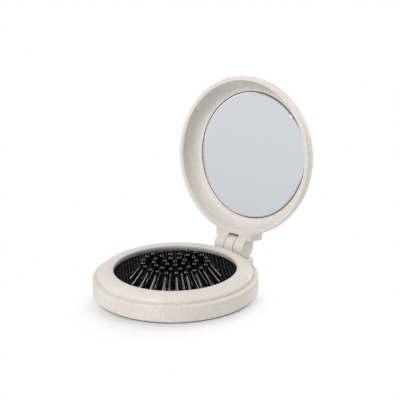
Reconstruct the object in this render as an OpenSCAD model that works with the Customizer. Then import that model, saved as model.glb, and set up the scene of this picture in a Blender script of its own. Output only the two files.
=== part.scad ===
// Folding pocket hairbrush with a mirror in its lid.
//
// Z is up and the table is at zero. The origin is under the middle of the round
// brush base, the hinge axis lies along X behind the base, and the lid is drawn
// open, leaning back a little, as it stands at rest. The brush is drawn pushed in.

/* [Base] */
// Outer radius of the round base
base_r = 33; // [31:0.5:37]
// Height of the ledge that the closed lid comes down on
ledge_z = 6.8; // [6.6:0.1:8]
// Thickness of the outer wall of the base
wall_t = 1.85; // [1.4:0.05:2.2]
// Thickness of the floor of the base
floor_t = 1.6; // [1.2:0.1:2]
// How far the rounded bottom edge of the base comes in
foot_round = 1.9; // [1:0.1:2.2]
// Height of the rounded bottom edge of the base
foot_rise = 0.9; // [0.6:0.1:1.4]
// Rounding of the outer edge of the ledge
ledge_round = 0.5; // [0.3:0.1:0.8]
// Radius of the hole in the floor that a thumb presses through
press_hole_r = 12.5; // [10:0.5:16]
// Width of the rib that stands under the edge of the brush pad
rib_t = 2; // [1.4:0.1:2.6]

/* [Brush ring] */
// Width of the ring from its outer wall to the round mouth that the brush looks out of
ring_w = 6.45; // [6:0.05:7.2]
// Height of the upright step between the ledge and the ring's slope
step_h = 1.1; // [0.8:0.1:1.6]
// How far the ring's slope climbs from the step to its crest
slope_h = 2.2; // [1.9:0.1:2.6]
// Height of the crest above the edge of the brush pad
lip_t = 2.5; // [2.2:0.1:2.8]
// Width of the rounded side of the ring, from its crest to the mouth
lip_round_w = 2.05; // [1:0.05:2.6]
// Height of that rounded side
lip_round_h = 0.6; // [0.4:0.1:1.2]
// Thickness of the ring's own upright wall
ring_wall_t = 1.8; // [1.4:0.1:2.2]

/* [Brush pad] */
// Thickness of the rubber pad
pad_t = 1; // [0.8:0.1:1.1]
// Width of the pad's edge that the ring holds down
pad_grip_w = 3.1; // [2.4:0.1:3.4]
// How far the slope of the pushed-in pad would fall from the mouth to the very middle
pad_fall = 7.27; // [6.6:0.01:7.6]
// Width of the plain skirt of the pad, from the mouth to the bristled slices
skirt_w = 5.1; // [4:0.1:5.6]
// Margin between the feet of the inner pins and the edge of their slice
foot_margin = 0.38; // [0.2:0.02:0.6]
// Clearance between one slice and the next
slice_gap = 0.3; // [0.2:0.05:0.4]
// Thickness of the disc that the thumb presses
press_disc_t = 0.6; // [0.4:0.1:0.6]
// How much smaller than the pad's flat middle the pressed disc is, all round
press_disc_inset = 0.5; // [0.3:0.1:1.5]

/* [Bristle pins] */
// Radius of a pin where it leaves the pad
pin_foot_r = 0.8; // [0.6:0.05:0.85]
// Radius of a pin just below its ball tip
pin_neck_r = 0.5; // [0.35:0.05:0.6]
// Radius of the ball on the tip of a pin
ball_r = 0.9; // [0.7:0.05:1.05]
// Height of the middles of the balls above the ring's lip
tip_rise = 1.7; // [1.2:0.1:2.2]
// Distance of the outer circle of ball tips from the edge of the mouth
tip_inset = 11.8; // [11:0.1:12.2]
// Radius of the middle circle of ball tips, as a share of the outer one's
middle_tip_share = 0.655; // [0.6:0.005:0.7]
// Radius of the inner circle of ball tips, as a share of the outer one's
inner_tip_share = 0.316; // [0.3:0.002:0.34]
// Lean of the outer pins, in degrees; they stand nearly upright when the brush is out
outer_lean = 37.6; // [32:0.1:38]
// Lean of the pins of the middle circle, in degrees
middle_lean = 33; // [28:0.5:36]
// Lean of the pins of the inner circle, in degrees
inner_lean = 25; // [20:0.5:28]
// Turn of the whole pad about its middle, in degrees
pad_turn = 3.4; // [0:0.1:17]
// Number of sides of a pin
pin_sides = 8; // [6:1:8]

/* [Lid] */
// How far the lid's rim stands out past the base
lid_proud = 0.1; // [0:0.1:0.8]
// Thickness of the lid's back behind the mirror
back_t = 1; // [0.8:0.1:1.4]
// Thickness of the lid's wall at its rim
rim_t = 1.95; // [1.6:0.05:2]
// Height of the upright part of the lid's outer wall
lid_wall_h = 1; // [0.6:0.1:2]
// How far the lid's rounded back edge comes in
back_round = 8.7; // [7:0.1:10]
// Depth of the mirror's face below the rim
mirror_depth = 7.4; // [7.2:0.1:7.6]
// Width of the curved side of the bowl, from the rim to the mirror's seat
bowl_side_w = 4.15; // [3.6:0.05:7]
// Thickness of the mirror glass
glass_t = 1.4; // [1:0.1:1.5]
// Width of the ground bevel round the mirror
bevel_w = 0.5; // [0.3:0.1:0.9]
// Thickness of the adhesive disc behind the mirror
glue_t = 0.2; // [0.1:0.05:0.3]
// Angle that the lid stands open at, counted from closed
lid_open = 99.5; // [80:0.1:120]

/* [Hinge] */
// Distance of the hinge axis behind the base's wall
hinge_back = 5.1; // [4.9:0.1:6]
// Height of the hinge axis above the ledge
hinge_rise = 0.9; // [0.6:0.1:1.4]
// Radius of the hinge barrel
barrel_r = 4; // [3.5:0.1:4.1]
// Width of the middle knuckle, which belongs to the base
knuckle_w = 4.5; // [4:0.1:6]
// Width of each of the lid's two ears
ear_w = 4.8; // [4:0.1:6]
// Radius of the steel hinge pin
hinge_pin_r = 0.9; // [0.7:0.05:1.2]
// Distance of the tab's end from the hinge axis
tab_reach = 3.2; // [3:0.1:3.5]
// Depth of the tab, from the lid's rim
tab_depth = 7.6; // [6.4:0.1:8]
// How much wider than the barrel the lid's tab is, on each side
tab_side = 2.1; // [1:0.1:2.6]
// Distance from the base's wall to where the ears' web begins
web_start = 0.6; // [0.4:0.1:0.7]
// Clear height of the tab's slot beyond the knuckle
slot_head = 1.1; // [0.9:0.1:1.2]
// Half of the width of the bridge that closes the slot's back
bridge_half = 4; // [3:0.1:5]
// Distance of the bridge's end from the hinge axis
bridge_reach = 2.1; // [2:0.1:2.8]
// How much wider than the barrel the base's lug is, on each side
lug_side = 2.2; // [1:0.1:2.8]
// Length of the lug behind the hinge axis
lug_reach = 2.4; // [2.2:0.1:2.5]
// Height of the underside of the lug above the table
lug_lift = 1; // [0.6:0.1:1.6]
// Rounding of the lug's two free corners
lug_round = 2; // [1:0.1:2.4]

/* [Fits] */
// Clearance between pieces that lie or move beside each other
gap = 0.3; // [0.25:0.05:0.35]
// Clearance between the mirror and the side of its seat
mirror_gap = 0.6; // [0.3:0.05:0.7]
// Clearance between the brush ring and the base it plugs into
plug_gap = 0.15; // [0.1:0.05:0.2]
// Side clearance between the hinge's knuckle and ears
side_gap = 0.25; // [0.2:0.05:0.35]
// Clearance of the closed lid above the ledge
close_gap = 0.1; // [0.1:0.05:0.2]
// Radial running clearance of the hinge pin in the knuckle
pin_run = 0.05; // [0.03:0.01:0.08]
// Radial clearance of the hinge pin where the ears grip it
pin_grip = 0.01; // [0.01:0.01:0.02]

/* [Hidden] */
$fn = 96;
eps = 0.01;
shell_colour = [0.88, 0.85, 0.80];
rubber_colour = [0.06, 0.06, 0.07];

// The bristled part of the pad folds in this many slices
slices = 7;
SLICE_NAMES = [for (k = [1:slices]) str("pad_slice_", k)];

// Heights of the base
shoulder_z = ledge_z + step_h;
ring_top_z = shoulder_z + slope_h;
pad_z = ring_top_z - lip_t;

// Brush ring
ring_r = base_r - wall_t - plug_gap;
mouth_r = ring_r - ring_w;
grip_r = mouth_r + pad_grip_w;
rib_out_r = grip_r;
rib_in_r = rib_out_r - rib_t;

// Brush pad: the slope starts at the mouth, and everything on it follows this line
pad_slope = atan(pad_fall / mouth_r);
slope_t = pad_t / cos(pad_slope);
skirt_r = mouth_r - skirt_w;
outer_tip_r = mouth_r - tip_inset;
middle_tip_r = outer_tip_r * middle_tip_share;
inner_tip_r = outer_tip_r * inner_tip_share;
function pad_top(r) = pad_z - (mouth_r - r) * tan(pad_slope);
tip_z = ring_top_z + tip_rise;
// Where a pin stands on the slope that leans by an angle and has its tip at the radius r
function foot_radius(r, lean) =
    (r + (tip_z - pad_z + pad_fall) * tan(lean)) / (1 + tan(pad_slope) * tan(lean));
function pin_length(r, lean) = (tip_z - pad_top(foot_radius(r, lean))) / cos(lean);
hub_r = foot_radius(inner_tip_r, inner_lean) - pin_foot_r - foot_margin - slice_gap;
slice_angle = 360 / slices;
disc_top_z = pad_top(hub_r) - slope_t;
press_disc_r = hub_r - press_disc_inset;

// Hinge
hinge_y = base_r + hinge_back;
rim_z = ledge_z + close_gap;
lid_h = mirror_depth + glass_t + glue_t + back_t;
closed_top_z = rim_z + lid_h;
hinge_z = ledge_z + hinge_rise;
tab_end_y = hinge_y - tab_reach;
slot_y = hinge_y - barrel_r - slot_head;
slot_top_z = hinge_z + barrel_r + gap * 2;
lug_end_y = hinge_y + lug_reach;
lug_top_z = hinge_z - barrel_r - gap;
barrel_half = knuckle_w / 2 + side_gap + ear_w;
pin_end_wall = 1;

// Lid, drawn closed with its rim at rim_z
lid_r = base_r + lid_proud;
bowl_r = lid_r - rim_t;
seat_r = bowl_r - bowl_side_w;
mirror_r = seat_r - mirror_gap;
glass_z = rim_z + mirror_depth;
glue_z = glass_z + glass_t;
seat_z = glue_z + glue_t;
rim_soft = 0.3;

// Points along a quarter of an ellipse about [cx, cy], from the angle a to b
function ellipse_arc(cx, cy, rx, ry, a, b, n) =
    [for (i = [0:n]) let (t = a + (b - a) * i / n) [cx + rx * cos(t), cy + ry * sin(t)]];

// Turns what is drawn with the lid closed to the angle that the lid stands at
module opened(angle = lid_open) {
    translate([0, hinge_y, hinge_z])
        rotate([-angle, 0, 0])
            translate([0, -hinge_y, -hinge_z])
                children();
}

// A cylinder along X from x0 to x1 about the hinge axis
module hinge_cylinder(r, x0, x1) {
    translate([x0, hinge_y, hinge_z])
        rotate([0, 90, 0])
            cylinder(r = r, h = x1 - x0);
}

// A block from the low corner to the high corner
module block(low, high) {
    translate(low)
        cube(high - low);
}

// ---- base ----

// Cross-section of the base: a floor with the press hole, the outer wall and the rib
module base_section() {
    inner_r = base_r - wall_t;
    polygon(concat([[press_hole_r, 0]],
        ellipse_arc(base_r - foot_round, foot_rise, foot_round, foot_rise, -90, 0, 8),
        ellipse_arc(base_r - ledge_round, ledge_z - ledge_round, ledge_round, ledge_round, 0, 90, 5),
        [[inner_r, ledge_z],
         [inner_r, floor_t],
         [rib_out_r, floor_t],
         [rib_out_r, pad_z - pad_t],
         [rib_in_r, pad_z - pad_t],
         [rib_in_r, floor_t],
         [press_hole_r, floor_t]]));
}

// Lug behind the base that carries the middle knuckle and stops the lid at its flattest
module lug() {
    half = barrel_half + lug_side;
    height = lug_top_z - lug_lift;
    inner_y = base_r - wall_t - half * half / base_r / 2;
    translate([0, 0, lug_lift]) {
        block([-half, inner_y, 0], [half, lug_end_y - lug_round, height]);
        block([-half + lug_round, inner_y, 0], [half - lug_round, lug_end_y, height]);
        for (side = [-1, 1])
            translate([side * (half - lug_round), lug_end_y - lug_round, 0])
                cylinder(r = lug_round, h = height);
    }
}

module base_shell() {
    color(shell_colour)
        difference() {
            union() {
                rotate_extrude()
                    base_section();
                difference() {
                    lug();
                    // the lug stops inside the base's wall
                    cylinder(r = base_r - wall_t / 2, h = ledge_z * 2);
                }
                hinge_cylinder(barrel_r, -knuckle_w / 2, knuckle_w / 2);
                block([-knuckle_w / 2, hinge_y - barrel_r, lug_top_z - eps],
                      [knuckle_w / 2, lug_end_y, hinge_z]);
            }
            hinge_cylinder(hinge_pin_r + pin_run, -knuckle_w, knuckle_w);
        }
}

// Cross-section of the ring: a convex slope from the step up to the crest, and a rounded lip
module ring_section() {
    crest_r = mouth_r + lip_round_w;
    slope = [for (i = [0:10]) let (w = 1 - i / 10)
        [crest_r + (ring_r - crest_r) * w, shoulder_z + slope_h * (1 - w * w)]];
    polygon(concat(slope,
        ellipse_arc(crest_r, ring_top_z - lip_round_h, lip_round_w, lip_round_h, 100, 180, 8),
        [[mouth_r, pad_z],
         [ring_r - ring_wall_t, pad_z],
         [ring_r - ring_wall_t, floor_t],
         [ring_r, floor_t]]));
}

module brush_ring() {
    color(shell_colour)
        rotate_extrude()
            ring_section();
}

// ---- brush pad ----

// Outer part of the pad: the edge that the ring holds down, and the plain slope inside it
module pad_skirt() {
    inner_r = skirt_r + slice_gap;
    color(rubber_colour)
        rotate_extrude()
            polygon([[grip_r, pad_z - pad_t],
                     [grip_r, pad_z],
                     [mouth_r, pad_z],
                     [inner_r, pad_top(inner_r)],
                     [inner_r, pad_top(inner_r) - slope_t],
                     [mouth_r, pad_z - slope_t],
                     [mouth_r + (slope_t - pad_t) / tan(pad_slope), pad_z - pad_t]]);
}

// One ring of points round a pin at the height z
function pin_ring(r, z) =
    [for (i = [0:pin_sides - 1]) [r * cos(i * 360 / pin_sides), r * sin(i * 360 / pin_sides), z]];

// Triangles between ring k and the next ring of n points
function band(k, n) =
    [for (i = [0:n - 1]) for (half = [0, 1])
        half == 0 ? [k * n + i, (k + 1) * n + i, k * n + (i + 1) % n]
                  : [k * n + (i + 1) % n, (k + 1) * n + i, (k + 1) * n + (i + 1) % n]];

// A tapered pin with a ball tip: it stands on z = 0, runs into the pad below that
// by root, and the middle of its ball is at z = length
module ball_pin(length, root) {
    n = pin_sides;
    neck = acos(pin_neck_r / ball_r);
    ball_angles = [-neck, -neck / 3, neck / 3, neck];
    rings = concat([pin_ring(pin_foot_r, -root)],
        [for (a = ball_angles) pin_ring(ball_r * cos(a), length + ball_r * sin(a))]);
    last = len(rings) - 1;
    points = concat([for (ring = rings) for (p = ring) p],
        [[0, 0, -root], [0, 0, length + ball_r]]);
    base_point = len(rings) * n;
    faces = concat(
        [for (i = [0:n - 1]) [base_point, i, (i + 1) % n]],
        [for (k = [0:last - 1]) each band(k, n)],
        [for (i = [0:n - 1]) [base_point + 1, last * n + (i + 1) % n, last * n + i]]);
    polyhedron(points = points, faces = faces, convexity = 4);
}

// A pin on the slope that leans inwards, with its ball at the radius tip_r
module slope_pin(tip_r, lean, angle) {
    foot_r = foot_radius(tip_r, lean);
    rotate([0, 0, angle])
        translate([foot_r, 0, pad_top(foot_r)])
            rotate([0, -lean, 0])
                ball_pin(pin_length(tip_r, lean), pad_t / 2);
}

// One slice of the bristled slope with its six pins, about the X axis
module slice_form() {
    reach = skirt_r * 2;
    half = slice_angle / 2;
    inner_r = hub_r + slice_gap;
    // the slice's straight sides keep half the clearance from the line between two slices
    nose = slice_gap / 2 / sin(half);
    intersection() {
        rotate_extrude()
            polygon([[inner_r, pad_top(inner_r) - slope_t],
                     [skirt_r, pad_top(skirt_r) - slope_t],
                     [skirt_r, pad_top(skirt_r)],
                     [inner_r, pad_top(inner_r)]]);
        linear_extrude(height = pad_z)
            polygon([[nose, 0],
                     [nose + reach * cos(half), -reach * sin(half)],
                     [nose + reach * cos(half), reach * sin(half)]]);
    }
    for (i = [-1, 0, 1])
        slope_pin(outer_tip_r, outer_lean, i * slice_angle / 3);
    for (i = [-1, 1])
        slope_pin(middle_tip_r, middle_lean, i * slice_angle / 4);
    slope_pin(inner_tip_r, inner_lean, 0);
}

module pad_slice(k) {
    color(rubber_colour)
        rotate([0, 0, pad_turn + (k - 1) * slice_angle])
            slice_form();
}

// Flat middle of the pad with its one upright pin
module pad_centre() {
    color(rubber_colour) {
        translate([0, 0, disc_top_z])
            cylinder(r = hub_r, h = slope_t);
        translate([0, 0, pad_top(hub_r)])
            ball_pin(tip_z - pad_top(hub_r), pad_t / 2);
    }
}

// Stiff disc under the middle of the pad, which the thumb presses through the floor
module press_disc() {
    color("dimgray")
        translate([0, 0, disc_top_z - press_disc_t])
            cylinder(r = press_disc_r, h = press_disc_t);
}

// ---- lid, drawn closed and turned open ----

// Outer cross-section of the lid: upright rim, then a long round edge to a flat back
module lid_outer_section() {
    round_h = lid_h - lid_wall_h;
    back_r = lid_r - back_round;
    polygon(concat([[0, 0], [lid_r - rim_soft, 0], [lid_r, rim_soft]],
        ellipse_arc(back_r, lid_wall_h, back_round, round_h, 0, 90, 16),
        [[0, lid_h]]));
}

// Hollow of the lid: a bowl down to the mirror's face, and the mirror's seat below it
module lid_hollow_section() {
    polygon(concat([[0, -gap], [bowl_r + rim_soft, -gap], [bowl_r + rim_soft, 0]],
        [for (p = ellipse_arc(seat_r, 0, bowl_r - seat_r, mirror_depth, 5, 90, 12)) p],
        [[seat_r, mirror_depth + glass_t + glue_t],
         [0, mirror_depth + glass_t + glue_t]]));
}

// Tab that runs from the bowl towards the hinge, level with the rim, and the bridge on it
module lid_tab() {
    half = barrel_half + tab_side;
    back_z = rim_z + tab_depth;
    inner_y = lid_r - back_round;
    block([-half, inner_y, rim_z], [half, tab_end_y, back_z]);
    block([-bridge_half, inner_y, slot_top_z], [bridge_half, hinge_y - bridge_reach, back_z]);
}

// Hinge ears with their web, which leaves the rim's plane along a tangent to the barrel
module lid_ears() {
    web_y = base_r + web_start;
    touch = atan2(rim_z - hinge_z, web_y - hinge_y)
        + acos(barrel_r / norm([hinge_y - web_y, hinge_z - rim_z]));
    rotate([90, 0, 90])
        translate([0, 0, -barrel_half])
            linear_extrude(height = barrel_half * 2)
                polygon([[lid_r - back_round, rim_z],
                         [web_y, rim_z],
                         [hinge_y + barrel_r * cos(touch), hinge_z + barrel_r * sin(touch)],
                         [hinge_y, hinge_z],
                         [hinge_y, hinge_z + barrel_r],
                         [lid_r - back_round, hinge_z + barrel_r]]);
    hinge_cylinder(barrel_r, -barrel_half, barrel_half);
}

module lid_shell() {
    slot_half = knuckle_w / 2 + side_gap;
    color(shell_colour)
        opened()
            difference() {
                union() {
                    translate([0, 0, rim_z])
                        rotate_extrude()
                            lid_outer_section();
                    lid_tab();
                    lid_ears();
                }
                translate([0, 0, rim_z])
                    rotate_extrude()
                        lid_hollow_section();
                // slot between the ears for the base's knuckle
                block([-slot_half, slot_y, rim_z - barrel_r * 2],
                      [slot_half, hinge_y + barrel_r * 2, slot_top_z]);
                // bore for the pin, open at one end
                hinge_cylinder(hinge_pin_r + pin_grip, -barrel_half - 1, barrel_half - pin_end_wall);
            }
}

module mirror_glass() {
    color([0.80, 0.82, 0.86])
        opened()
            translate([0, 0, glass_z])
                rotate_extrude()
                    polygon([[0, 0],
                             [mirror_r - bevel_w, 0],
                             [mirror_r, bevel_w * 0.6],
                             [mirror_r, glass_t],
                             [0, glass_t]]);
}

module mirror_glue() {
    color("gainsboro")
        opened()
            translate([0, 0, glue_z])
                cylinder(r = mirror_r - bevel_w * 2, h = glue_t);
}

module hinge_pin() {
    color("silver")
        hinge_cylinder(hinge_pin_r, -barrel_half + gap, barrel_half - pin_end_wall - gap);
}

base_shell();
brush_ring();
pad_skirt();
for (k = [1:slices])
    pad_slice(k);
pad_centre();
press_disc();
lid_shell();
mirror_glass();
mirror_glue();
hinge_pin();
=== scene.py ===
"""Folding pocket hairbrush with a mirror in its lid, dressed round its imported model.

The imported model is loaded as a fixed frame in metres. Every sub-assembly below is a
class that holds its sizes in millimetres, builds its pieces in that frame and gives
them a finish. The lid is drawn closed first and then turned open about the hinge.
"""

import logging
import math
from dataclasses import dataclass
from enum import Enum
from typing import Sequence

import bmesh
import bpy
from mathutils import Matrix, Vector


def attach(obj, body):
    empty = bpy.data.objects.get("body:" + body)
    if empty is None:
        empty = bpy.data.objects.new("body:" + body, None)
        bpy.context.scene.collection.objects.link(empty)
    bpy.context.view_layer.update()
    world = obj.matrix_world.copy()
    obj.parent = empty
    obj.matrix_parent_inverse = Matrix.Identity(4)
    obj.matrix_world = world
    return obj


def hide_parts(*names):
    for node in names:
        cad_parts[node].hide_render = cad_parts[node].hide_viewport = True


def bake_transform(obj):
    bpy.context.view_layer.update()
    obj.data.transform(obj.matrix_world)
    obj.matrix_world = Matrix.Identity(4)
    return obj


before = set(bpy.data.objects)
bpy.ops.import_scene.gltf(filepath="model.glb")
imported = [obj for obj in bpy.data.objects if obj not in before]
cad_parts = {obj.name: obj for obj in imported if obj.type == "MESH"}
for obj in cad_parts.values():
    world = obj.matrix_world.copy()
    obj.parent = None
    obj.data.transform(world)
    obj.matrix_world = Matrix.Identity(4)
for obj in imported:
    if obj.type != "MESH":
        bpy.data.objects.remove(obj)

LOG = logging.getLogger("folding_brush")
MM = 0.001
Point2 = tuple[float, float]
Point3 = tuple[float, float, float]
Colour = tuple[float, float, float]
Span = tuple[float, float]

BASE_STEPS, LID_STEPS, PAD_STEPS, DISC_STEPS = 192, 224, 168, 96
"""Steps round the axis of the base, the lid and mirror, the pad, and the small discs."""

CUT_ANGLE, MERGE_ANGLE, EDGE_ANGLE, SOFT_ANGLE, BEVEL_ANGLE = 30.0, 32.0, 40.0, 60.0, 12.0
"""Degrees above which an edge is sharp: on a cut, a merged and a plain piece, rubber, glass."""


# --------------------------------------------------------------------------- sizes


@dataclass(frozen=True)
class BaseSizes:
    """Sizes of the round base and its hinge lug, in millimetres."""

    radius: float = 33.0
    ledge_z: float = 6.8
    wall: float = 1.85
    floor: float = 1.6
    foot_width: float = 1.9
    foot_height: float = 0.9
    edge_round: float = 0.5
    press_hole_radius: float = 12.5
    hole_flare: float = 0.3
    hole_round: float = 0.5
    rib_width: float = 2.0
    lip_width: float = 0.10
    lip_depths: Span = (0.6, 0.8)
    lug_half_width: float = 9.5
    lug_low_z: float = 1.0
    lug_top_z: float = 3.4
    lug_end_y: float = 40.5
    lug_round: float = 2.0
    lug_bevel: float = 0.4
    arm_sink: float = 0.6
    arm_corner: float = 0.35


@dataclass(frozen=True)
class RingSizes:
    """Sizes of the brush ring, in millimetres.

    The shoulder's round is given in from the wall and down from the shoulder, the undercut
    out from the mouth and up from its own middle.
    """

    radius: float = 31.0
    mouth_radius: float = 24.55
    shoulder_z: float = 7.9
    top_z: float = 10.1
    lip: float = 2.5
    lip_width: float = 2.05
    lip_fall: float = 0.6
    wall: float = 1.8
    shoulder_round: tuple[Point2, ...] = ((0.0, 0.45), (0.05, 0.2), (0.16, 0.0))
    slope_steps: int = 16
    undercut_z: float = 8.08
    undercut: tuple[Point2, ...] = (
        (0.0, 0.32), (0.06, 0.24), (0.85, 0.18), (0.85, -0.14), (0.45, -0.22)
    )
    under_width: float = 0.50


@dataclass(frozen=True)
class PadSizes:
    """Sizes of the rubber pad and its pins, in millimetres.

    The three numbers of a row of pins are for the outer, the middle and the inner row. The
    leans and the pad's turn are in degrees, and pin_shares places the pins across a slice.
    """

    thickness: float = 1.0
    grip_radius: float = 27.65
    top_z: float = 7.6
    mouth_radius: float = 24.55
    fall: float = 7.27
    centre_radius: float = 6.76
    foot_radius: float = 0.82
    neck_radius: float = 0.52
    ball_radius: float = 0.90
    tip_z: float = 11.8
    tip_circles: tuple[float, float, float] = (12.75, 8.35, 4.03)
    lean_angles: tuple[float, float, float] = (37.6, 33.0, 25.0)
    pin_shares: tuple[tuple[float, ...], ...] = ((-1 / 3, 0, 1 / 3), (-1 / 4, 1 / 4), (0,))
    flare: float = 0.25
    flare_rate: float = 9.0
    root_width: float = 0.1
    bend: float = 0.8
    turn: float = 3.4
    slices: int = 7
    disc_thickness: float = 0.6
    disc_inset: float = 0.5
    disc_edge: float = 0.25
    hollow_depth: float = 0.25
    hollow_rim: float = 1.0

    @property
    def slope(self) -> float:
        """Angle of the pushed-in pad's slope, in radians."""
        return math.atan(self.fall / self.mouth_radius)

    @property
    def slope_thickness(self) -> float:
        """Height of the pad's rubber on the slope."""
        return self.thickness / math.cos(self.slope)

    def height(self, radius: float) -> float:
        """Height of the pushed-in pad's upper face at a radius."""
        outside = min(max(radius, self.centre_radius), self.mouth_radius)
        return self.top_z - (self.mouth_radius - outside) * math.tan(self.slope)

    def foot(self, tip_radius: float, lean: float) -> float:
        """Radius at which a leaning pin stands on the slope, for its ball to come at tip_radius."""
        rise = self.tip_z - self.top_z + self.fall
        return (tip_radius + rise * math.tan(lean)) / (1 + math.tan(self.slope) * math.tan(lean))


@dataclass(frozen=True)
class LidSizes:
    """Sizes of the lid and its mirror, in millimetres, measured from the lid's rim.

    The roll of the rim is given out from the bowl and in from the rim.
    """

    radius: float = 33.1
    depth: float = 10.0
    rim: float = 1.95
    rim_round: float = 0.3
    wall_height: float = 1.0
    back_round: float = 8.7
    bowl_side: float = 4.15
    mirror_depth: float = 7.4
    mirror_gap: float = 0.6
    rim_roll: tuple[Point2, ...] = ((0.5, -0.5), (0.34, 0.0), (0.16, 0.08), (0.03, 0.35))
    seat_ease: float = 0.2
    seat_lead: float = 0.1
    glass: float = 1.4
    glass_round: float = 0.08
    bevel: float = 0.5
    glue: float = 0.2
    glue_inset: float = 1.0
    rim_z: float = 6.9
    tab_start_y: float = 24.0
    tab_round: float = 0.7
    tab_half_width: float = 9.4
    tab_depth: float = 7.6
    tab_end_y: float = 34.9
    slot_end_y: float = 33.0
    slot_gap: float = 0.6
    web_start_y: float = 33.6
    root_y: float = 28.0
    bridge_half_width: float = 4.0
    bridge_end_y: float = 36.0
    bridge_bevel: float = 0.2
    face_bevel: float = 0.3
    cut_margin: float = 6.0

    @property
    def bowl_radius(self) -> float:
        """Radius of the bowl at the rim."""
        return self.radius - self.rim

    @property
    def seat_radius(self) -> float:
        """Radius of the mirror's seat."""
        return self.bowl_radius - self.bowl_side

    @property
    def mirror_radius(self) -> float:
        """Radius of the mirror glass."""
        return self.seat_radius - self.mirror_gap


@dataclass(frozen=True)
class HingeSizes:
    """Sizes and place of the hinge, in millimetres; the opening angle is in degrees."""

    y: float = 38.1
    z: float = 7.7
    opening: float = 99.5
    barrel_radius: float = 4.0
    knuckle_width: float = 4.5
    side_gap: float = 0.25
    ear_width: float = 4.8
    knuckle_bevel: float = 0.2
    pin_radius: float = 0.9
    pin_recess: float = 0.3
    pin_round: float = 0.15
    knuckle_play: float = 0.05
    ear_play: float = 0.01
    end_wall: float = 1.0

    @property
    def half_width(self) -> float:
        """Half of the width over both ears."""
        return self.knuckle_width / 2 + self.side_gap + self.ear_width

    @property
    def open_turn(self) -> Matrix:
        """Turn about the hinge that takes the closed lid to its open rest."""
        centre = Vector((0.0, self.y, self.z))
        turn = Matrix.Rotation(math.radians(-self.opening), 4, "X")
        return Matrix.Translation(centre) @ turn @ Matrix.Translation(-centre)


# --------------------------------------------------------------------------- meshes


def arc(centre: Point2, radii: Point2, start: float, end: float, steps: int) -> list[Point2]:
    """Points along an arc of an ellipse.

    Args:
        centre: Middle of the ellipse.
        radii: Its two half axes.
        start: First angle in degrees.
        end: Last angle in degrees.
        steps: Number of stretches.

    Returns:
        The points, both ends included.
    """
    (x, y), (wide, high) = centre, radii
    angles = [math.radians(start + (end - start) * i / steps) for i in range(steps + 1)]
    return [(x + wide * math.cos(a), y + high * math.sin(a)) for a in angles]


def rounded_end(half: float, end: float, radius: float, steps: int) -> list[Point2]:
    """Far end of an outline as wide as two halves, with a rounded corner on the right and left."""
    low = end - radius
    right = arc((half - radius, low), (radius, radius), 0, 90, steps)
    return right + arc((-half + radius, low), (radius, radius), 90, 180, steps)


def circle(centre: Point2, radius: float) -> list[Point2]:
    """Outline of a circle, in 48 points."""
    return arc(centre, (radius, radius), 0, 352.5, 47)


def offset(outline: Sequence[Point2], distance: float) -> list[Point2]:
    """Moves a closed outline that runs counter-clockwise inwards by a distance."""
    moved = []
    count = len(outline)
    for i, (x, y) in enumerate(outline):
        before, after = outline[i - 1], outline[(i + 1) % count]
        into = Vector((x - before[0], y - before[1])).normalized()
        out = Vector((after[0] - x, after[1] - y)).normalized()
        across = Vector((-into.y - out.y, into.x + out.x))
        if across.length < 1e-9:
            across = Vector((-into.y, into.x))
        across.normalize()
        reach = distance / max(0.35, across.dot(Vector((-into.y, into.x))))
        moved.append((x + across.x * reach, y + across.y * reach))
    return moved


def add_object(name: str, data: bpy.types.ID) -> bpy.types.Object:
    """Adds an object with its data to the scene and returns it."""
    added = bpy.data.objects.new(name, data)
    bpy.context.scene.collection.objects.link(added)
    return added


def smooth(data: bpy.types.Mesh, sharp_angle: float) -> None:
    """Shades a mesh smooth but for edges sharper than an angle in degrees."""
    for polygon in data.polygons:
        polygon.use_smooth = True
    data.set_sharp_from_angle(angle=math.radians(sharp_angle))


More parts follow.
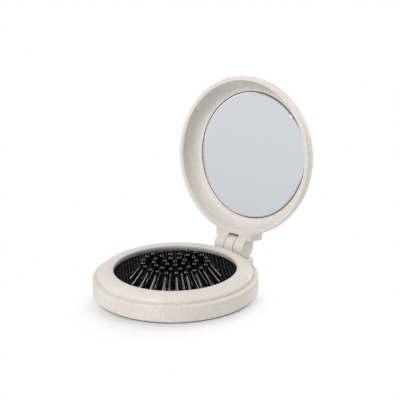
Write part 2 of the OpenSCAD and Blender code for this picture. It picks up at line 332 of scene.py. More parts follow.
class MeshMaker:
    """Collects rings of points into one smooth-shaded mesh object, in metres."""

    def __init__(self, name: str) -> None:
        """Starts an empty mesh with the name that the piece will have."""
        self.name = name
        self.mesh = bmesh.new()

    def lathe(
        self, profile: Sequence[Point2], segments: int, placed: Matrix = Matrix()
    ) -> "MeshMaker":
        """Turns a closed profile of radius and height about the Z axis.

        Args:
            profile: Points that run counter-clockwise round the section; two of them
                on the axis close it there.
            segments: Number of steps round the axis.
            placed: Where the turned form goes, in millimetres.

        Returns:
            The maker itself.
        """
        rings = []
        for radius, height in profile:
            if radius < 1e-6:
                rings.append([self.mesh.verts.new(placed @ Vector((0, 0, height)) * MM)])
                continue
            ring = []
            for i in range(segments):
                angle = 2 * math.pi * i / segments
                point = Vector((radius * math.cos(angle), radius * math.sin(angle), height))
                ring.append(self.mesh.verts.new(placed @ point * MM))
            rings.append(ring)
        for low, high in zip(rings, rings[1:] + rings[:1]):
            if len(low) == 1 and len(high) == 1:
                continue
            for i in range(segments):
                j = (i + 1) % segments
                below = (low[i % len(low)], low[j % len(low)])
                above = (high[j % len(high)], high[i % len(high)])
                unique = list(dict.fromkeys(below + above))
                if len(unique) > 2:
                    self.mesh.faces.new(unique)
        return self

    def loft(self, rings: Sequence[Sequence[Point3]], placed: Matrix = Matrix()) -> "MeshMaker":
        """Joins rings of equally many points by side faces and closes both ends.

        Args:
            rings: The rings from the first end to the last.
            placed: Where the form goes, in millimetres.

        Returns:
            The maker itself.
        """
        made = [[self.mesh.verts.new(placed @ Vector(p) * MM) for p in ring] for ring in rings]
        count = len(made[0])
        for low, high in zip(made, made[1:]):
            for i in range(count):
                j = (i + 1) % count
                self.mesh.faces.new((low[i], low[j], high[j], high[i]))
        self.mesh.faces.new(list(reversed(made[0])))
        self.mesh.faces.new(made[-1])
        return self

    def prism(
        self, outline: Sequence[Point2], low: float, high: float, bevel: float,
        placed: Matrix = Matrix(),
    ) -> "MeshMaker":
        """Extrudes a counter-clockwise outline along Z with rounded ends.

        Args:
            outline: The outline at full width.
            low: Height of the first end.
            high: Height of the last end.
            bevel: Radius of the rounding round both ends.
            placed: Where the form goes, in millimetres.

        Returns:
            The maker itself.
        """
        steps = 4  # stretches of each rounding
        lower = [math.pi / 2 * i / steps for i in range(steps + 1)]
        upper = [math.pi / 2 * (1 - i / steps) for i in range(steps + 1)]
        rings = []
        for end, side, angles in ((low, 1, lower), (high, -1, upper)):
            for angle in angles:
                height = end + side * (bevel * (1 - math.cos(angle)))
                inset = bevel * (1 - math.sin(angle))
                rings.append([(x, y, height) for x, y in offset(outline, inset)])
        return self.loft(rings, placed)

    def build(self, sharp_angle: float = EDGE_ANGLE) -> bpy.types.Object:
        """Makes the object, smooth but for edges sharper than an angle in degrees."""
        bmesh.ops.recalc_face_normals(self.mesh, faces=self.mesh.faces)
        data = bpy.data.meshes.new(self.name)
        self.mesh.to_mesh(data)
        self.mesh.free()
        smooth(data, sharp_angle)
        return add_object(self.name, data)


def shape(
    piece: bpy.types.Object, cutter: bpy.types.Object, operation: str = "DIFFERENCE"
) -> bpy.types.Object:
    """Cuts a piece with another one, or joins them, and removes the other one.

    Args:
        piece: The piece that changes.
        cutter: The other piece, which is used up.
        operation: DIFFERENCE or UNION.

    Returns:
        The piece.
    """
    modifier = piece.modifiers.new("cut", "BOOLEAN")
    modifier.operation = operation
    modifier.solver = "EXACT"
    modifier.object = cutter
    graph = bpy.context.evaluated_depsgraph_get()
    changed = bpy.data.meshes.new_from_object(piece.evaluated_get(graph))
    old = piece.data
    piece.modifiers.clear()
    piece.data = changed
    changed.name = old.name
    bpy.data.meshes.remove(old)
    bpy.data.objects.remove(cutter)
    smooth(changed, CUT_ANGLE)
    return piece


def merge(name: str, pieces: Sequence[bpy.types.Object]) -> bpy.types.Object:
    """Puts several pieces into one object under a new name."""
    joined = bmesh.new()
    for piece in pieces:
        joined.from_mesh(piece.data)
    data = bpy.data.meshes.new(name)
    joined.to_mesh(data)
    joined.free()
    for piece in pieces:
        bpy.data.objects.remove(piece)
    smooth(data, MERGE_ANGLE)
    return add_object(name, data)


ALONG_X = Matrix(((0, 0, 1, 0), (1, 0, 0, 0), (0, 1, 0, 0), (0, 0, 0, 1)))
"""Takes a form drawn in (y, z) and extruded along Z to its place along X."""


# --------------------------------------------------------------------------- finishes


class Nodes:
    """Small helper that adds and links the shader nodes of one material or of the world."""

    def __init__(self, owner: bpy.types.Material | bpy.types.World) -> None:
        """Starts with the output and the main shader that the owner has from the start."""
        owner.use_nodes = True
        self.owner = owner
        self.tree = owner.node_tree
        self.shader = self.tree.nodes.get("Principled BSDF") or self.tree.nodes["Background"]
        self.place = self.add("TexCoord").outputs["Object"]

    def add(
        self, kind: str, links: dict[str, object] | None = None, **settings: object
    ) -> bpy.types.Node:
        """Adds a node.

        Args:
            kind: Type of the node, without its ShaderNode prefix.
            links: Input names or numbers, each with a value or an output to link.
            settings: Properties of the node.

        Returns:
            The node.
        """
        node = self.tree.nodes.new("ShaderNode" + kind)
        for key, value in settings.items():
            setattr(node, key, value)
        for key, value in (links or {}).items():
            self.put(node.inputs[int(key) if key.isdigit() else key], value)
        return node

    def put(self, socket: bpy.types.NodeSocket, value: object) -> None:
        """Links an output to a socket, or sets the socket's own value."""
        if isinstance(value, bpy.types.NodeSocket):
            self.tree.links.new(value, socket)
        else:
            socket.default_value = value

    def math(self, operation: str, *values: object) -> bpy.types.NodeSocket:
        """Adds a maths node and returns its result."""
        links = {str(i): value for i, value in enumerate(values)}
        return self.add("Math", links, operation=operation).outputs[0]

    def noise(
        self, scale: float, detail: float = 2.0, roughness: float = 0.5
    ) -> bpy.types.NodeSocket:
        """Noise over the piece, with a scale in features per metre."""
        links = {"Vector": self.place, "Scale": scale, "Detail": detail, "Roughness": roughness}
        return self.add("TexNoise", links).outputs["Fac"]

    def cells(self, scale: float, vector: object, channel: int) -> tuple[bpy.types.NodeSocket, ...]:
        """Distances to the middles of random cells, and one channel of each cell's own colour."""
        made = self.add("TexVoronoi", {"Vector": vector, "Scale": scale}).outputs
        own = self.add("SeparateColor", {"Color": made["Color"]}).outputs
        return made["Distance"], own[channel]

    def span(self, value: object, low: float, high: float) -> bpy.types.NodeSocket:
        """Maps a value from between 0 and 1 to between low and high."""
        links = {"Value": value, "To Min": low, "To Max": high}
        return self.add("MapRange", links).outputs["Result"]

    def step(self, value: object, low: float, high: float) -> bpy.types.NodeSocket:
        """Maps a value smoothly from 0 at low to 1 at high."""
        links = {"Value": value, "From Min": low, "From Max": high}
        return self.add("MapRange", links, interpolation_type="SMOOTHSTEP").outputs["Result"]

    def mix(self, factor: object, first: object, second: object) -> bpy.types.NodeSocket:
        """Mixes two colours."""
        node = self.add("Mix", data_type="RGBA")
        self.put(node.inputs[0], factor)
        for socket, colour in ((node.inputs[6], first), (node.inputs[7], second)):
            self.put(socket, colour if isinstance(colour, bpy.types.NodeSocket) else (*colour, 1.0))
        return node.outputs[2]

    def bump(self, height: object, distance: float, strength: float = 1.0) -> None:
        """Adds a bump of a height in metres on top of the bumps there are."""
        links = {"Height": height, "Distance": distance, "Strength": strength}
        before = self.shader.inputs["Normal"].links
        if before:
            links["Normal"] = before[0].from_socket
        self.put(self.shader.inputs["Normal"], self.add("Bump", links).outputs["Normal"])

    def set(self, **values: object) -> None:
        """Sets or links sockets of the main shader by their names."""
        for name, value in values.items():
            self.put(self.shader.inputs[name.replace("_", " ")], value)


@dataclass(frozen=True)
class StrawPlastic:
    """Ivory moulded plastic with straw fibres in it: faint tan specks and a fine, satin grain.

    The scales are in features per metre, and a share is how far a colour covers the one below.
    """

    body: Colour = (0.750, 0.703, 0.655)
    warm: Colour = (0.708, 0.655, 0.598)
    grain: Colour = (0.600, 0.545, 0.480)
    speck: Colour = (0.420, 0.330, 0.235)
    pale: Colour = (0.820, 0.780, 0.720)
    warm_scale: float = 55.0
    grain_scale: float = 1100.0
    speck_scale: float = 640.0
    patch_scale: float = 180.0
    husk_scale: float = 330.0
    husk_stretch: Point3 = (1.0, 0.45, 0.8)
    husk_turn: Point3 = (0.3, 0.5, 0.7)
    grain_share: float = 0.42
    speck_share: float = 0.38
    husk_share: float = 0.55
    roughness: Span = (0.40, 0.54)

    def material(self) -> bpy.types.Material:
        """Builds the material."""
        n = Nodes(bpy.data.materials.new("straw_plastic"))
        colour = n.mix(n.step(n.noise(self.warm_scale, 3.0), 0.35, 0.70), self.body, self.warm)
        fine = n.step(n.noise(self.grain_scale, 3.0, 0.7), 0.44, 0.66)
        colour = n.mix(n.math("MULTIPLY", fine, self.grain_share), colour, self.grain)
        distance, pick = n.cells(self.speck_scale, n.place, 0)
        dark = n.math("MULTIPLY", n.step(distance, 0.30, 0.12), n.step(pick, 0.62, 0.72))
        dark = n.math("MULTIPLY", dark, n.step(n.noise(self.patch_scale, 2.0), 0.30, 0.60))
        colour = n.mix(n.math("MULTIPLY", dark, self.speck_share), colour, self.speck)
        links = {"Vector": n.place, "Scale": self.husk_stretch, "Rotation": self.husk_turn}
        distance, pick = n.cells(self.husk_scale, n.add("Mapping", links).outputs[0], 1)
        light = n.math("MULTIPLY", n.step(distance, 0.26, 0.10), n.step(pick, 0.70, 0.80))
        colour = n.mix(n.math("MULTIPLY", light, self.husk_share), colour, self.pale)
        n.set(Base_Color=colour, Roughness=n.span(n.noise(900, 2.0), *self.roughness), IOR=1.47)
        n.bump(n.noise(1500, 3.0, 0.6), 0.00003, 0.35)
        n.bump(n.noise(240, 2.0), 0.00005, 0.25)
        return n.owner


@dataclass(frozen=True)
class WovenRubber:
    """Black rubber pad moulded with a fine cloth grain; raised knots have a bluish painted
    highlight.
    """

    low: Colour = (0.0012, 0.0012, 0.0016)
    # painted highlight: the lighter, bluish colour of the raised knots
    high: Colour = (0.105, 0.108, 0.126)
    pitch: float = 0.00175
    wobble: float = 0.5
    knot_edge: Span = (0.12, 0.90)
    roughness: Span = (0.85, 0.55)
    knot_height: float = 0.00012

    def material(self) -> bpy.types.Material:
        """Builds the material."""
        n = Nodes(bpy.data.materials.new("woven_rubber"))
        place = n.add("SeparateXYZ", {"Vector": n.place}).outputs
        wobble = n.math("MULTIPLY", n.math("SUBTRACT", n.noise(260, 1.0), 0.5), self.wobble)
        waves = []
        for axis in (0, 1):
            along = n.math("MULTIPLY", place[axis], 2 * math.pi / self.pitch)
            waves.append(n.math("SINE", n.math("ADD", along, wobble)))
        raised = n.step(n.math("MULTIPLY", *waves), *self.knot_edge)
        patches = n.step(n.noise(420, 3.0, 0.65), 0.30, 0.75)
        wear_and_sheen = n.math("ADD", n.math("MULTIPLY", patches, 0.8), 0.2)
        # painted highlight: raised knots painted lighter, more in some patches than in others
        n.set(Base_Color=n.mix(n.math("MULTIPLY", raised, wear_and_sheen), self.low, self.high))
        n.set(Roughness=n.span(raised, *self.roughness), IOR=1.5, Specular_IOR_Level=0.02)
        n.bump(raised, self.knot_height, 0.6)
        return n.owner


@dataclass(frozen=True)
class GlossRubber:
    """Smooth glossy black rubber of the pins, with faint flow marks."""

    colour: Colour = (0.002, 0.002, 0.0025)
    sheen_colour: Colour = (0.005, 0.005, 0.006)
    roughness: Span = (0.12, 0.17)

    def material(self) -> bpy.types.Material:
        """Builds the material."""
        n = Nodes(bpy.data.materials.new("gloss_rubber"))
        marks = n.step(n.noise(900, 2.0), 0.4, 0.7)
        n.set(Base_Color=n.mix(marks, self.colour, self.sheen_colour))
        n.set(Roughness=n.span(n.noise(500, 1.0), *self.roughness))
        n.set(IOR=1.5, Specular_IOR_Level=0.09)
        return n.owner


@dataclass(frozen=True)
class SilveredGlass:
    """Mirror: silver behind glass with a painted reflection gradient, a ground bevel and a dark
    edge.

    The bevel and the edge are told from the face by how far they turn from it. The bevel is
    painted white on the left only, a painted reflection, and the silver is painted darker from the
    first of two heights to the second, a painted reflection gradient with a noisy edge.
    """

    colour: Colour = (0.645, 0.672, 0.714)
    # painted reflection: darker silver for the lower part of the mirror
    dull: Colour = (0.575, 0.588, 0.624)
    # ground bevel white, painted on the left side only as a painted reflection
    ground: Colour = (0.930, 0.940, 0.950)
    side: Colour = (0.060, 0.066, 0.062)
    face: Point3 = (0.0, -0.986, 0.165)
    # painted reflection: heights over which the silver darkens, and the noise that wobbles that
    # edge
    dull_heights: Span = (0.055, 0.000)
    haze_depth: float = 0.012
    bevel_facing: Span = (0.97, 0.93)
    # painted reflection: the bevel's white fades out from left to right across these places
    bevel_places: Span = (0.006, -0.008)
    side_facing: Span = (0.50, 0.25)
    roughness: Span = (0.015, 0.045)

    def material(self) -> bpy.types.Material:
        """Builds the material."""
        n = Nodes(bpy.data.materials.new("silvered_glass"))
        place = n.add("SeparateXYZ", {"Vector": n.place}).outputs
        # painted reflection: the silver is painted darker towards the bottom, with a noisy edge
        shade_wobble = n.math("MULTIPLY", n.math("SUBTRACT", n.noise(40, 2.0), 0.5), self.haze_depth)
        lower = n.step(n.math("ADD", place[2], shade_wobble), *self.dull_heights)
        silver = n.mix(lower, self.colour, self.dull)
        links = {"0": n.add("TexCoord").outputs["Normal"], "1": self.face}
        facing = n.add("VectorMath", links, operation="DOT_PRODUCT").outputs["Value"]
        # painted reflection: the bevel is painted white only on its left, fading out to the right
        left = n.step(place[0], *self.bevel_places)
        ground = n.math("MULTIPLY", n.step(facing, *self.bevel_facing), left)
        side = n.step(facing, *self.side_facing)
        n.set(Base_Color=n.mix(side, n.mix(ground, silver, self.ground), self.side))
        n.set(Metallic=n.math("SUBTRACT", 1.0, n.math("MAXIMUM", ground, side)))
        n.set(Roughness=n.span(n.noise(300, 4.0), *self.roughness))
        return n.owner


@dataclass(frozen=True)
class Steel:
    """Drawn steel wire of the hinge pin, with lines along it."""

    colour: Colour = (0.56, 0.56, 0.57)
    shade: Colour = (0.44, 0.44, 0.45)
    stretch: Point3 = (0.05, 1.0, 1.0)
    roughness: Span = (0.22, 0.42)

    def material(self) -> bpy.types.Material:
        """Builds the material."""
        n = Nodes(bpy.data.materials.new("drawn_steel"))
        n.place = n.add("Mapping", {"Vector": n.place, "Scale": self.stretch}).outputs[0]
        lines = n.noise(9000, 2.0)
        n.set(Base_Color=n.mix(n.step(lines, 0.35, 0.7), self.colour, self.shade))
        n.set(Metallic=1.0, Roughness=n.span(lines, *self.roughness))
        n.bump(lines, 0.00001, 0.5)
        return n.owner


@dataclass(frozen=True)
class DullPlastic:
    """Plain dull plastic of a hidden or underside piece, finely grained."""

    name: str
    colour: Colour
    shade: Colour
    roughness: Span = (0.47, 0.65)

    def material(self) -> bpy.types.Material:
        """Builds the material."""
        n = Nodes(bpy.data.materials.new(self.name))
        n.set(Base_Color=n.mix(n.step(n.noise(700, 3.0), 0.35, 0.7), self.colour, self.shade))
        n.set(Roughness=n.span(n.noise(1500, 2.0), *self.roughness))
        n.bump(n.noise(2400, 2.0), 0.00003, 0.5)
        return n.owner


class Finish(Enum):
    """The finishes that the pieces of the brush have."""

    SHELL = "shell"
    PAD = "pad"
    PINS = "pins"
    MIRROR = "mirror"
    GLUE = "glue"
    DISC = "disc"
    STEEL = "steel"


class Finishes:
    """Builds each finish once and puts it on pieces."""

    SLOTS = {
        Finish.SHELL: "shell",
        Finish.PAD: "pad_rubber",
        Finish.PINS: "pad_rubber",
        Finish.MIRROR: "mirror",
        Finish.GLUE: "glue",
        Finish.DISC: "disc_plastic",
        Finish.STEEL: "steel",
    }

    def __init__(self) -> None:
        """Builds all the materials."""
        looks = {
            Finish.SHELL: StrawPlastic(),
            Finish.PAD: WovenRubber(),
            Finish.PINS: GlossRubber(),
            Finish.MIRROR: SilveredGlass(),
            Finish.GLUE: DullPlastic("foam_glue", (0.10,) * 3, (0.05,) * 3, (0.72, 0.90)),
            Finish.DISC: DullPlastic("disc_plastic", (0.020, 0.020, 0.022), (0.035, 0.035, 0.038)),
            Finish.STEEL: Steel(),
        }
        self.materials = {finish: look.material() for finish, look in looks.items()}

    def dress(
        self, piece: bpy.types.Object, finish: Finish, body: str, *nodes: str
    ) -> bpy.types.Object:
        """Gives a piece its finish, its body and the nodes that it stands for.

        Args:
            piece: The piece, in its place.
            finish: Its finish.
            body: Name of the body that it rides on, or nothing for a blended piece.
            nodes: Names of the nodes that it replaces.

        Returns:
            The piece.
        """
        piece.data.materials.clear()
        piece.data.materials.append(self.materials[finish])
        if nodes:
            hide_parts(*nodes)
        if body:
            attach(piece, body)
        count = len(piece.data.polygons)
        LOG.info("%s: %d faces, rides on %s", piece.name, count, body or "two bodies")
        return piece


# --------------------------------------------------------------------------- pieces


@dataclass
class Base:
    """Round base with its lug and the middle knuckle of the hinge, and the ring plugged into it."""

    sizes: BaseSizes = BaseSizes()
    ring: RingSizes = RingSizes()
    hinge: HingeSizes = HingeSizes()

    def shell_profile(self) -> list[Point2]:
        """Section of the base: floor, rounded foot, wall with a rounded ledge, and pad's rib."""
        s, pad = self.sizes, PadSizes()
        inner = s.radius - s.wall
        edge, hole = s.edge_round, s.hole_round
        rib_out = pad.grip_radius
        rib_in = rib_out - s.rib_width
        rib_top = pad.top_z - pad.thickness
        foot = (s.foot_width, s.foot_height)
        return [
            (s.press_hole_radius + s.hole_flare, 0.0),
            *arc((s.radius - s.foot_width, s.foot_height), foot, -90, 0, 10),
            *arc((s.radius - edge, s.ledge_z - edge), (edge, edge), 0, 90, 6),
            (inner - s.lip_width, s.ledge_z),
            (inner - s.lip_width, s.ledge_z - s.lip_depths[0]),
            (inner, s.ledge_z - s.lip_depths[1]),
            (inner, s.floor),
            (rib_out, s.floor),
            (rib_out, rib_top),
            (rib_in, rib_top),
            (rib_in, s.floor),
            *arc((s.press_hole_radius + hole, s.floor - hole), (hole, hole), 90, 180, 4),
            (s.press_hole_radius, s.hole_flare),
        ]

    def lug(self) -> MeshMaker:
        """Lug behind the base, with rounded corners."""
        s = self.sizes
        half, end, steps = s.lug_half_width, s.lug_end_y, 8
        places = [-half + 2 * half * i / steps for i in range(steps + 1)]
        outline = [
            *[(x, math.sqrt((s.radius - s.wall / 2) ** 2 - x**2)) for x in places],
            *rounded_end(half, end, s.lug_round, 6),
        ]
        return MeshMaker("lug").prism(outline, s.lug_low_z, s.lug_top_z, s.lug_bevel)

    def knuckle(self) -> bpy.types.Object:
        """Middle knuckle on its arm, bored for the hinge pin."""
        h, s = self.hinge, self.sizes
        low = s.lug_top_z - s.arm_sink
        r, width = h.barrel_radius, h.knuckle_width
        start = math.degrees(math.acos((s.lug_end_y - h.y) / r))
        outline = [
            (h.y - r, low),
            (s.lug_end_y, low),
            (s.lug_end_y, h.z - s.arm_corner),
            *arc((h.y, h.z), (r, r), start, 180, 24),
        ]
        knuckle = MeshMaker("knuckle")
        knuckle.prism(outline, -width / 2, width / 2, h.knuckle_bevel, ALONG_X)
        hole = circle((h.y, h.z), h.pin_radius + h.knuckle_play)
        bore = MeshMaker("bore").prism(hole, -width, width, 0.0, ALONG_X)
        return shape(knuckle.build(), bore.build())

    def ring_profile(self) -> list[Point2]:
        """Section of the ring: soft step, convex slope, rounded lip, undercut above the pad."""
        s = self.ring
        crest = s.mouth_radius + s.lip_width
        floor = self.sizes.floor
        under = s.top_z - s.lip
        slope = []
        for i in range(1, s.slope_steps + 1):
            share = 1 - i / s.slope_steps
            radius = crest + (s.radius - crest) * share
            slope.append((radius, s.shoulder_z + (s.top_z - s.shoulder_z) * (1 - share**2)))
        return [
            (s.radius, floor),
            *[(s.radius - inset, s.shoulder_z - drop) for inset, drop in s.shoulder_round],
            *slope,
            *arc((crest, s.top_z - s.lip_fall), (s.lip_width, s.lip_fall), 90, 180, 18)[1:],
            *[(s.mouth_radius + depth, s.undercut_z + rise) for depth, rise in s.undercut],
            (s.mouth_radius + s.under_width, under),
            (s.radius - s.wall, under),
            (s.radius - s.wall, floor),
        ]

    def build(self, finishes: Finishes) -> None:
        """Builds and dresses the base and its ring."""
        cup = MeshMaker("cup").lathe(self.shell_profile(), BASE_STEPS).build()
        shell = merge("base_shell_moulded", [cup, self.lug().build(), self.knuckle()])
        finishes.dress(shell, Finish.SHELL, "base", "base_shell")
        ring = MeshMaker("brush_ring_moulded").lathe(self.ring_profile(), BASE_STEPS).build()
        finishes.dress(ring, Finish.SHELL, "base", "brush_ring")


@dataclass
class Pad:
    """Rubber pad that snaps from a dish to a dome, with its ball-tipped pins and pressed disc."""

    sizes: PadSizes = PadSizes()
    roots: tuple[float, float, float] = (1.4, 0.65, 0.65)
    sides: int = 20

    def membrane(self) -> bpy.types.Object:
        """One round sheet of rubber: clamped edge, slope and flat middle."""
        s = self.sizes
        top = [(s.grip_radius, s.top_z)]
        start, steps = s.mouth_radius + s.bend, 56
        for i in range(steps + 1):
            radius = start - (start - s.centre_radius + s.bend) * i / steps
            top.append((radius, self.eased_height(radius)))
        under = []
        for radius, height in reversed(top):
            thickness = s.thickness if radius > s.mouth_radius else s.slope_thickness
            under.append((radius, height - thickness))
        profile = [(0.0, under[0][1]), *under, *top, (0.0, top[-1][1])]
        return MeshMaker("pad_membrane").lathe(profile, PAD_STEPS).build(SOFT_ANGLE)

    def eased_height(self, radius: float) -> float:
        """Height of the pad's upper face, with its two bends eased."""
        samples = [self.sizes.height(radius + self.sizes.bend * k / 4) for k in range(-4, 5)]
        return sum(samples) / len(samples)

    def pin_profile(self, length: float, root: float) -> list[Point2]:
        """Section of one pin: root sunk in the rubber, flared foot, tapered shaft and ball."""
        s = self.sizes
        neck = math.degrees(math.acos(s.neck_radius / s.ball_radius))
        shaft_top = length - s.ball_radius * math.sin(math.radians(neck))
        shaft = []
        steps = 7
        for i in range(steps + 1):
            share = i / steps
            flare = s.flare * math.exp(-share * s.flare_rate)
            radius = s.foot_radius + (s.neck_radius - s.foot_radius) * share + flare
            shaft.append((radius, shaft_top * share))
        ball = arc((0.0, length), (s.ball_radius, s.ball_radius), -neck, 90, 10)[1:]
        foot = [(0.0, -root), (s.foot_radius + s.root_width, -root)]
        return [*foot, *shaft, *ball[:-1], (0.0, ball[-1][1])]

    def pin(self, maker: MeshMaker, row: int, angle: float) -> None:
        """Adds a leaning pin of a row (0 is the outer one) at an angle in degrees round the pad."""
        s = self.sizes
        lean = math.radians(s.lean_angles[row])
        foot = s.foot(s.tip_circles[row], lean)
        length = (s.tip_z - s.height(foot)) / math.cos(lean)
        placed = (
            Matrix.Rotation(math.radians(angle), 4, "Z")
            @ Matrix.Translation((foot, 0, s.height(foot)))
            @ Matrix.Rotation(-lean, 4, "Y")
        )
        maker.lathe(self.pin_profile(length, self.roots[row]), self.sides, placed)

    def slice_pins(self, index: int) -> bpy.types.Object:
        """The six pins of one slice of the pad."""
        s = self.sizes
        step = 360 / s.slices
        middle = s.turn + (index - 1) * step
        maker = MeshMaker(f"pins_{index}")
        for row, shares in enumerate(s.pin_shares):
            for share in shares:
                self.pin(maker, row, middle + share * step)
        return maker.build(SOFT_ANGLE)

    def centre_pin(self) -> bpy.types.Object:
        """The upright pin in the middle."""
        s = self.sizes
        low = s.height(0)
        placed = Matrix.Translation((0, 0, low))
        profile = self.pin_profile(s.tip_z - low, self.roots[2])
        return MeshMaker("pin_middle").lathe(profile, self.sides, placed).build(SOFT_ANGLE)

    def disc(self) -> bpy.types.Object:
        """Pressed disc with a shallow thumb hollow underneath."""
        s = self.sizes
        top = s.height(0) - s.slope_thickness
        low = top - s.disc_thickness
        radius, edge = s.centre_radius - s.disc_inset, s.disc_edge
        hollow = radius - s.hollow_rim
        profile = [
            (0.0, low + s.hollow_depth),
            *[(r, low + s.hollow_depth * (1 - (r / hollow) ** 2)) for r in (1.2, 2.4, 3.4)],
            (hollow, low),
            *arc((radius - edge, low + edge), (edge, edge), -90, 0, 4),
            (radius, top),
            (0.0, top),
        ]
        return MeshMaker("press_disc_moulded").lathe(profile, DISC_STEPS).build()

    def build(self, finishes: Finishes) -> list[bpy.types.Object]:
        """Builds and dresses the pad, its pins and the disc.

        Args:
            finishes: The finishes of the brush.

        Returns:
            The pieces that are pins.
        """
        membrane = self.membrane()
        finishes.dress(membrane, Finish.PAD, "", "pad_skirt", "pad_centre")
        high, low = self.sizes.top_z, self.sizes.height(0)
        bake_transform(membrane)
        pins = []
        for index in range(1, self.sizes.slices + 1):
            row = self.slice_pins(index)
            pins.append(finishes.dress(row, Finish.PINS, f"slice_{index}", f"pad_slice_{index}"))
        pins.append(finishes.dress(self.centre_pin(), Finish.PINS, "brush_centre"))
        finishes.dress(self.disc(), Finish.DISC, "brush_centre", "press_disc")
        return pins


@dataclass
class Lid:
    """Lid with its bowl, mirror, tab and hinge ears, drawn closed and turned open."""

    sizes: LidSizes = LidSizes()
    hinge: HingeSizes = HingeSizes()

    @property
    def placed(self) -> Matrix:
        """Place of a form that is drawn in the closed lid, with its rim at zero."""
        return self.hinge.open_turn @ Matrix.Translation((0, 0, self.sizes.rim_z))

    def outer_profile(self) -> list[Point2]:
        """Section of the bowl's outside: softened rim, long rounded edge and flat back."""
        s = self.sizes
        rim = s.rim_round
        back = (s.back_round, s.depth - s.wall_height)
        return [
            (0.0, 0.0),
            *arc((s.radius - rim, rim), (rim, rim), -90, 0, 4),
            *arc((s.radius - s.back_round, s.wall_height), back, 0, 90, 28),
            (0.0, s.depth),
        ]

    def hollow_profile(self) -> list[Point2]:
        """Section of what is cut out of the bowl: curved wall down to the mirror's seat."""
        s = self.sizes
        seat_z = s.mirror_depth + s.glass + s.glue
        rim = [(s.bowl_radius + out, depth) for out, depth in s.rim_roll]
        return [
            (0.0, rim[0][1]),
            *rim,
            *arc((s.seat_radius, 0.0), (s.bowl_side, s.mirror_depth), 6, 90, 22),
            (s.seat_radius - s.seat_ease, s.mirror_depth + s.seat_lead),
            (s.seat_radius - s.seat_ease, seat_z),
            (0.0, seat_z),
        ]

    def tab(self) -> bpy.types.Object:
        """Tab that runs from the bowl to the hinge, its face level with the rim."""
        s = self.sizes
        half, start = s.tab_half_width, s.tab_start_y
        outline = [(-half, start), (half, start), *rounded_end(half, s.tab_end_y, s.tab_round, 5)]
        return MeshMaker("tab").prism(outline, 0.0, s.tab_depth, s.face_bevel).build()

    @property
    def slot_top(self) -> float:
        """Depth of the slot behind the rim, just clear of the knuckle."""
        return self.hinge.z - self.sizes.rim_z + self.hinge.barrel_radius + self.sizes.slot_gap

    def bridge(self) -> bpy.types.Object:
        """Short bridge behind the knuckle that closes the slot's back."""
        s = self.sizes
        low, high, start, end = self.slot_top, s.tab_depth, s.root_y, s.bridge_end_y
        outline = [(start, low), (end, low), (end, high), (start, high)]
        half = s.bridge_half_width
        return MeshMaker("bridge").prism(outline, -half, half, s.bridge_bevel, ALONG_X).build()

    def ear(self, side: int) -> bpy.types.Object:
        """One hinge ear on the left (-1) or right (1), with the web into the tab's face."""
        s, h = self.sizes, self.hinge
        centre = h.z - s.rim_z
        r = h.barrel_radius
        reach = math.hypot(h.y - s.web_start_y, centre)
        touch = math.atan2(-centre, s.web_start_y - h.y) + math.acos(r / reach)
        outline = [
            (s.root_y, 0.0),
            (s.web_start_y, 0.0),
            *arc((h.y, centre), (r, r), math.degrees(touch) % 360 - 360, 90, 44),
            (s.root_y, centre + r),
        ]
        low, high = h.half_width - h.ear_width, h.half_width
        if side < 0:
            low, high = -high, -low
        return MeshMaker("ear").prism(outline, low, high, s.face_bevel, ALONG_X).build()

    def shell(self) -> bpy.types.Object:
        """The whole lid: bowl, tab, bridge and ears in one, hollowed, slotted and bored."""
        s, h = self.sizes, self.hinge
        shell = MeshMaker("lid_shell_moulded").lathe(self.outer_profile(), LID_STEPS).build()
        for part in (self.tab(), self.bridge(), self.ear(-1), self.ear(1)):
            shape(shell, part, "UNION")
        shape(shell, MeshMaker("hollow").lathe(self.hollow_profile(), LID_STEPS).build())
        half = h.knuckle_width / 2 + h.side_gap
        start, end = s.slot_end_y, h.y + s.cut_margin
        low, high = -s.cut_margin, self.slot_top
        outline = [(start, low), (end, low), (end, high), (start, high)]
        shape(shell, MeshMaker("slot").prism(outline, -half, half, 0.0, ALONG_X).build())
        bore = circle((h.y, h.z - s.rim_z), h.pin_radius + h.ear_play)
        low, high = -h.half_width - 1, h.half_width - h.end_wall
        return shape(shell, MeshMaker("bore").prism(bore, low, high, 0.0, ALONG_X).build())

    def mirror_profile(self) -> list[Point2]:
        """Section of the glass with its ground bevel."""
        s = self.sizes
        face, back = s.mirror_depth, s.mirror_depth + s.glass
        r, soft = s.mirror_radius, s.glass_round
        return [
            (0.0, face),
            (r - s.bevel, face),
            (r - 0.06, face + s.bevel * 0.55),
            (r, face + s.bevel * 0.6 + 0.05),
            (r, back - soft),
            (r - soft, back),
            (0.0, back),
        ]

    def turned(self, piece: bpy.types.Object) -> bpy.types.Object:
        """Turns a piece drawn in the closed lid to the open rest."""
        placed = self.placed
        in_metres = Matrix.Translation(placed.to_translation() * MM)
        piece.data.transform(in_metres @ placed.to_3x3().to_4x4())
        return piece

    def build(self, finishes: Finishes) -> None:
        """Builds and dresses the lid, mirror, glue and hinge pin."""
        s = self.sizes
        finishes.dress(self.turned(self.shell()), Finish.SHELL, "lid", "lid_shell")
        glass = MeshMaker("mirror_plate").lathe(self.mirror_profile(), LID_STEPS).build(BEVEL_ANGLE)
        finishes.dress(self.turned(glass), Finish.MIRROR, "lid", "mirror_glass")
        low = s.mirror_depth + s.glass
        high, radius = low + s.glue, s.mirror_radius - s.glue_inset
        profile = [(0.0, low), (radius, low), (radius, high), (0.0, high)]
        glue = MeshMaker("mirror_pad").lathe(profile, DISC_STEPS).build()
        finishes.dress(self.turned(glue), Finish.GLUE, "lid", "mirror_glue")
        finishes.dress(self.pin(), Finish.STEEL, "lid", "hinge_pin")

    def pin(self) -> bpy.types.Object:
        """Steel hinge pin with slightly rounded ends."""
        h = self.hinge
        outline = circle((h.y, h.z), h.pin_radius)
        low, high = -h.half_width + h.pin_recess, h.half_width - h.end_wall - h.pin_recess
        return MeshMaker("hinge_pin_wire").prism(outline, low, high, h.pin_round, ALONG_X).build()


# --------------------------------------------------------------------------- studio


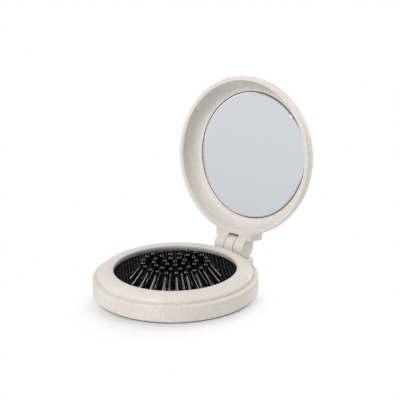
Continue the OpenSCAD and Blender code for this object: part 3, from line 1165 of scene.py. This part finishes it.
@dataclass(frozen=True)
class Lamp:
    """Square soft lamp that looks at the brush: place and side in metres, power in watts."""

    name: str
    place: Point3
    side: float
    watts: float
    target: Point3 = (0.0, 0.01, 0.03)

    def build(self) -> bpy.types.Object:
        """Adds the lamp to the scene."""
        data = bpy.data.lights.new(self.name, "AREA")
        data.shape = "SQUARE"
        data.size = self.side
        data.energy = self.watts
        lamp = add_object(self.name, data)
        lamp.location = self.place
        view = Vector(self.target) - Vector(self.place)
        lamp.rotation_mode = "QUATERNION"
        lamp.rotation_quaternion = view.to_track_quat("-Z", "Y")
        return lamp


@dataclass(frozen=True)
class Studio:
    """Pale floor, soft lamps and the camera of the photograph; places in metres."""

    camera_place: Point3 = (0.28073, -0.32629, 0.17804)
    turn: float = 39.34
    tilt: float = 18.08
    roll: float = -0.945
    focal_pixels: float = 1162.0
    frame_pixels: float = 400.0
    sensor: float = 36.0
    clip: Span = (0.01, 20.0)
    floor_size: float = 6.0
    floor_drop: float = 0.00005
    floor_colour: Colour = (0.92, 0.92, 0.92)
    floor_lift: float = 0.09
    floor_middle: Point3 = (0.0135, -0.0165, 0.0)
    floor_fade: Span = (0.022, 0.042)
    # painted shade: reach of the darkening painted into the floor near the brush
    contact_reach: float = 0.026
    ambient: float = 0.37
    lamps: tuple[Lamp, ...] = (
        Lamp("left_lamp", (-0.08, -0.81, 0.77), 0.5, 8.0),
        Lamp("right_lamp", (0.63, 0.52, 0.77), 0.6, 2.8),
        Lamp("rear_lamp", (0.20, 1.02, 0.40), 0.8, 3.4),
    )
    glint_lamps: tuple[Lamp, ...] = (
        Lamp("glint_front", (0.32, -0.39, 0.75), 0.42, 17.0),
        Lamp("glint_left", (-0.62, -0.30, 0.50), 0.36, 28.0),
        Lamp("glint_right", (0.62, 0.42, 0.50), 0.36, 28.0),
    )

    def camera(self) -> None:
        """Places the camera as it was fitted to the photograph."""
        data = bpy.data.cameras.new("photo_camera")
        data.sensor_fit = "HORIZONTAL"
        data.sensor_width = self.sensor
        data.lens = self.focal_pixels / self.frame_pixels * self.sensor
        data.clip_start, data.clip_end = self.clip
        camera = add_object("photo_camera", data)
        camera.location = self.camera_place
        camera.rotation_mode = "QUATERNION"
        camera.rotation_quaternion = (
            Matrix.Rotation(math.radians(self.turn), 4, "Z")
            @ Matrix.Rotation(math.radians(90 - self.tilt), 4, "X")
            @ Matrix.Rotation(math.radians(self.roll), 4, "Z")
        ).to_quaternion()
        bpy.context.scene.camera = camera

    def world(self) -> None:
        """White backdrop for what is seen, and a softer level for what it lights."""
        n = Nodes(bpy.data.worlds.new("studio_world"))
        path = n.add("LightPath").outputs
        seen = n.math("MAXIMUM", path["Is Camera Ray"], path["Is Glossy Ray"])
        seen = n.math("MAXIMUM", seen, path["Is Transmission Ray"])
        n.set(Color=(1, 1, 1, 1), Strength=n.span(seen, self.ambient, 1.0))
        bpy.context.scene.world = n.owner

    def floor(self) -> None:
        """Wide pale floor: shadow near the brush, deepened by painted shade from ambient occlusion,
        white further out and in a reflection.
        """
        half = self.floor_size / 2
        corners = [(-half, -half, 0), (half, -half, 0), (half, half, 0), (-half, half, 0)]
        data = bpy.data.meshes.new("studio_floor")
        data.from_pydata(corners, [], [(0, 1, 2, 3)])
        floor = add_object("studio_floor", data)
        floor.location.z = -self.floor_drop
        n = Nodes(bpy.data.materials.new("studio_floor"))
        path = n.add("LightPath").outputs
        direct = path["Is Camera Ray"]
        # painted shade: for what the camera sees, the floor's colour is darkened near the brush by
        # ambient occlusion
        links = {"Color": (*self.floor_colour, 1), "Distance": self.contact_reach}
        painted_contact_shade = n.add("AmbientOcclusion", links, samples=16).outputs["Color"]
        n.set(Base_Color=n.mix(direct, self.floor_colour, painted_contact_shade))
        n.set(Roughness=0.9, Specular_IOR_Level=0.0, Emission_Color=(1, 1, 1, 1))
        n.set(Emission_Strength=n.math("MULTIPLY", direct, self.floor_lift))
        links = {"0": n.place, "1": self.floor_middle}
        reach = n.add("VectorMath", links, operation="DISTANCE").outputs["Value"]
        far = n.math("MULTIPLY", n.step(reach, *self.floor_fade), direct)
        reflected = n.math("MAXIMUM", path["Is Glossy Ray"], path["Is Transmission Ray"])
        white = n.add("Emission").outputs["Emission"]
        near = n.shader.outputs["BSDF"]
        links = {"Fac": n.math("MAXIMUM", far, reflected), "1": near, "2": white}
        surface = n.add("MixShader", links).outputs["Shader"]
        n.put(n.tree.nodes["Material Output"].inputs["Surface"], surface)
        data.materials.append(n.owner)

    def glints(self, pins: Sequence[bpy.types.Object]) -> None:
        """Adds the lamps that give the glossy pins their glints and light nothing else.

        Args:
            pins: The pieces that they light.
        """
        shiny = bpy.data.collections.new("shiny_pins")
        for piece in pins:
            shiny.objects.link(piece)
        for made in self.glint_lamps:
            lamp = made.build()
            lamp.visible_diffuse = False
            lamp.light_linking.receiver_collection = shiny

    def build(self) -> None:
        """Builds the whole studio."""
        self.camera()
        self.world()
        self.floor()
        for lamp in self.lamps:
            lamp.build()
        bpy.context.scene.view_settings.view_transform = "Standard"


def main() -> None:
    """Builds the sub-assemblies in order."""
    logging.basicConfig(level=logging.INFO, format="%(name)s: %(message)s")
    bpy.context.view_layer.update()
    studio = Studio()
    studio.build()
    finishes = Finishes()
    Base().build(finishes)
    studio.glints(Pad().build(finishes))
    Lid().build(finishes)


if __name__ == "__main__":
    main()
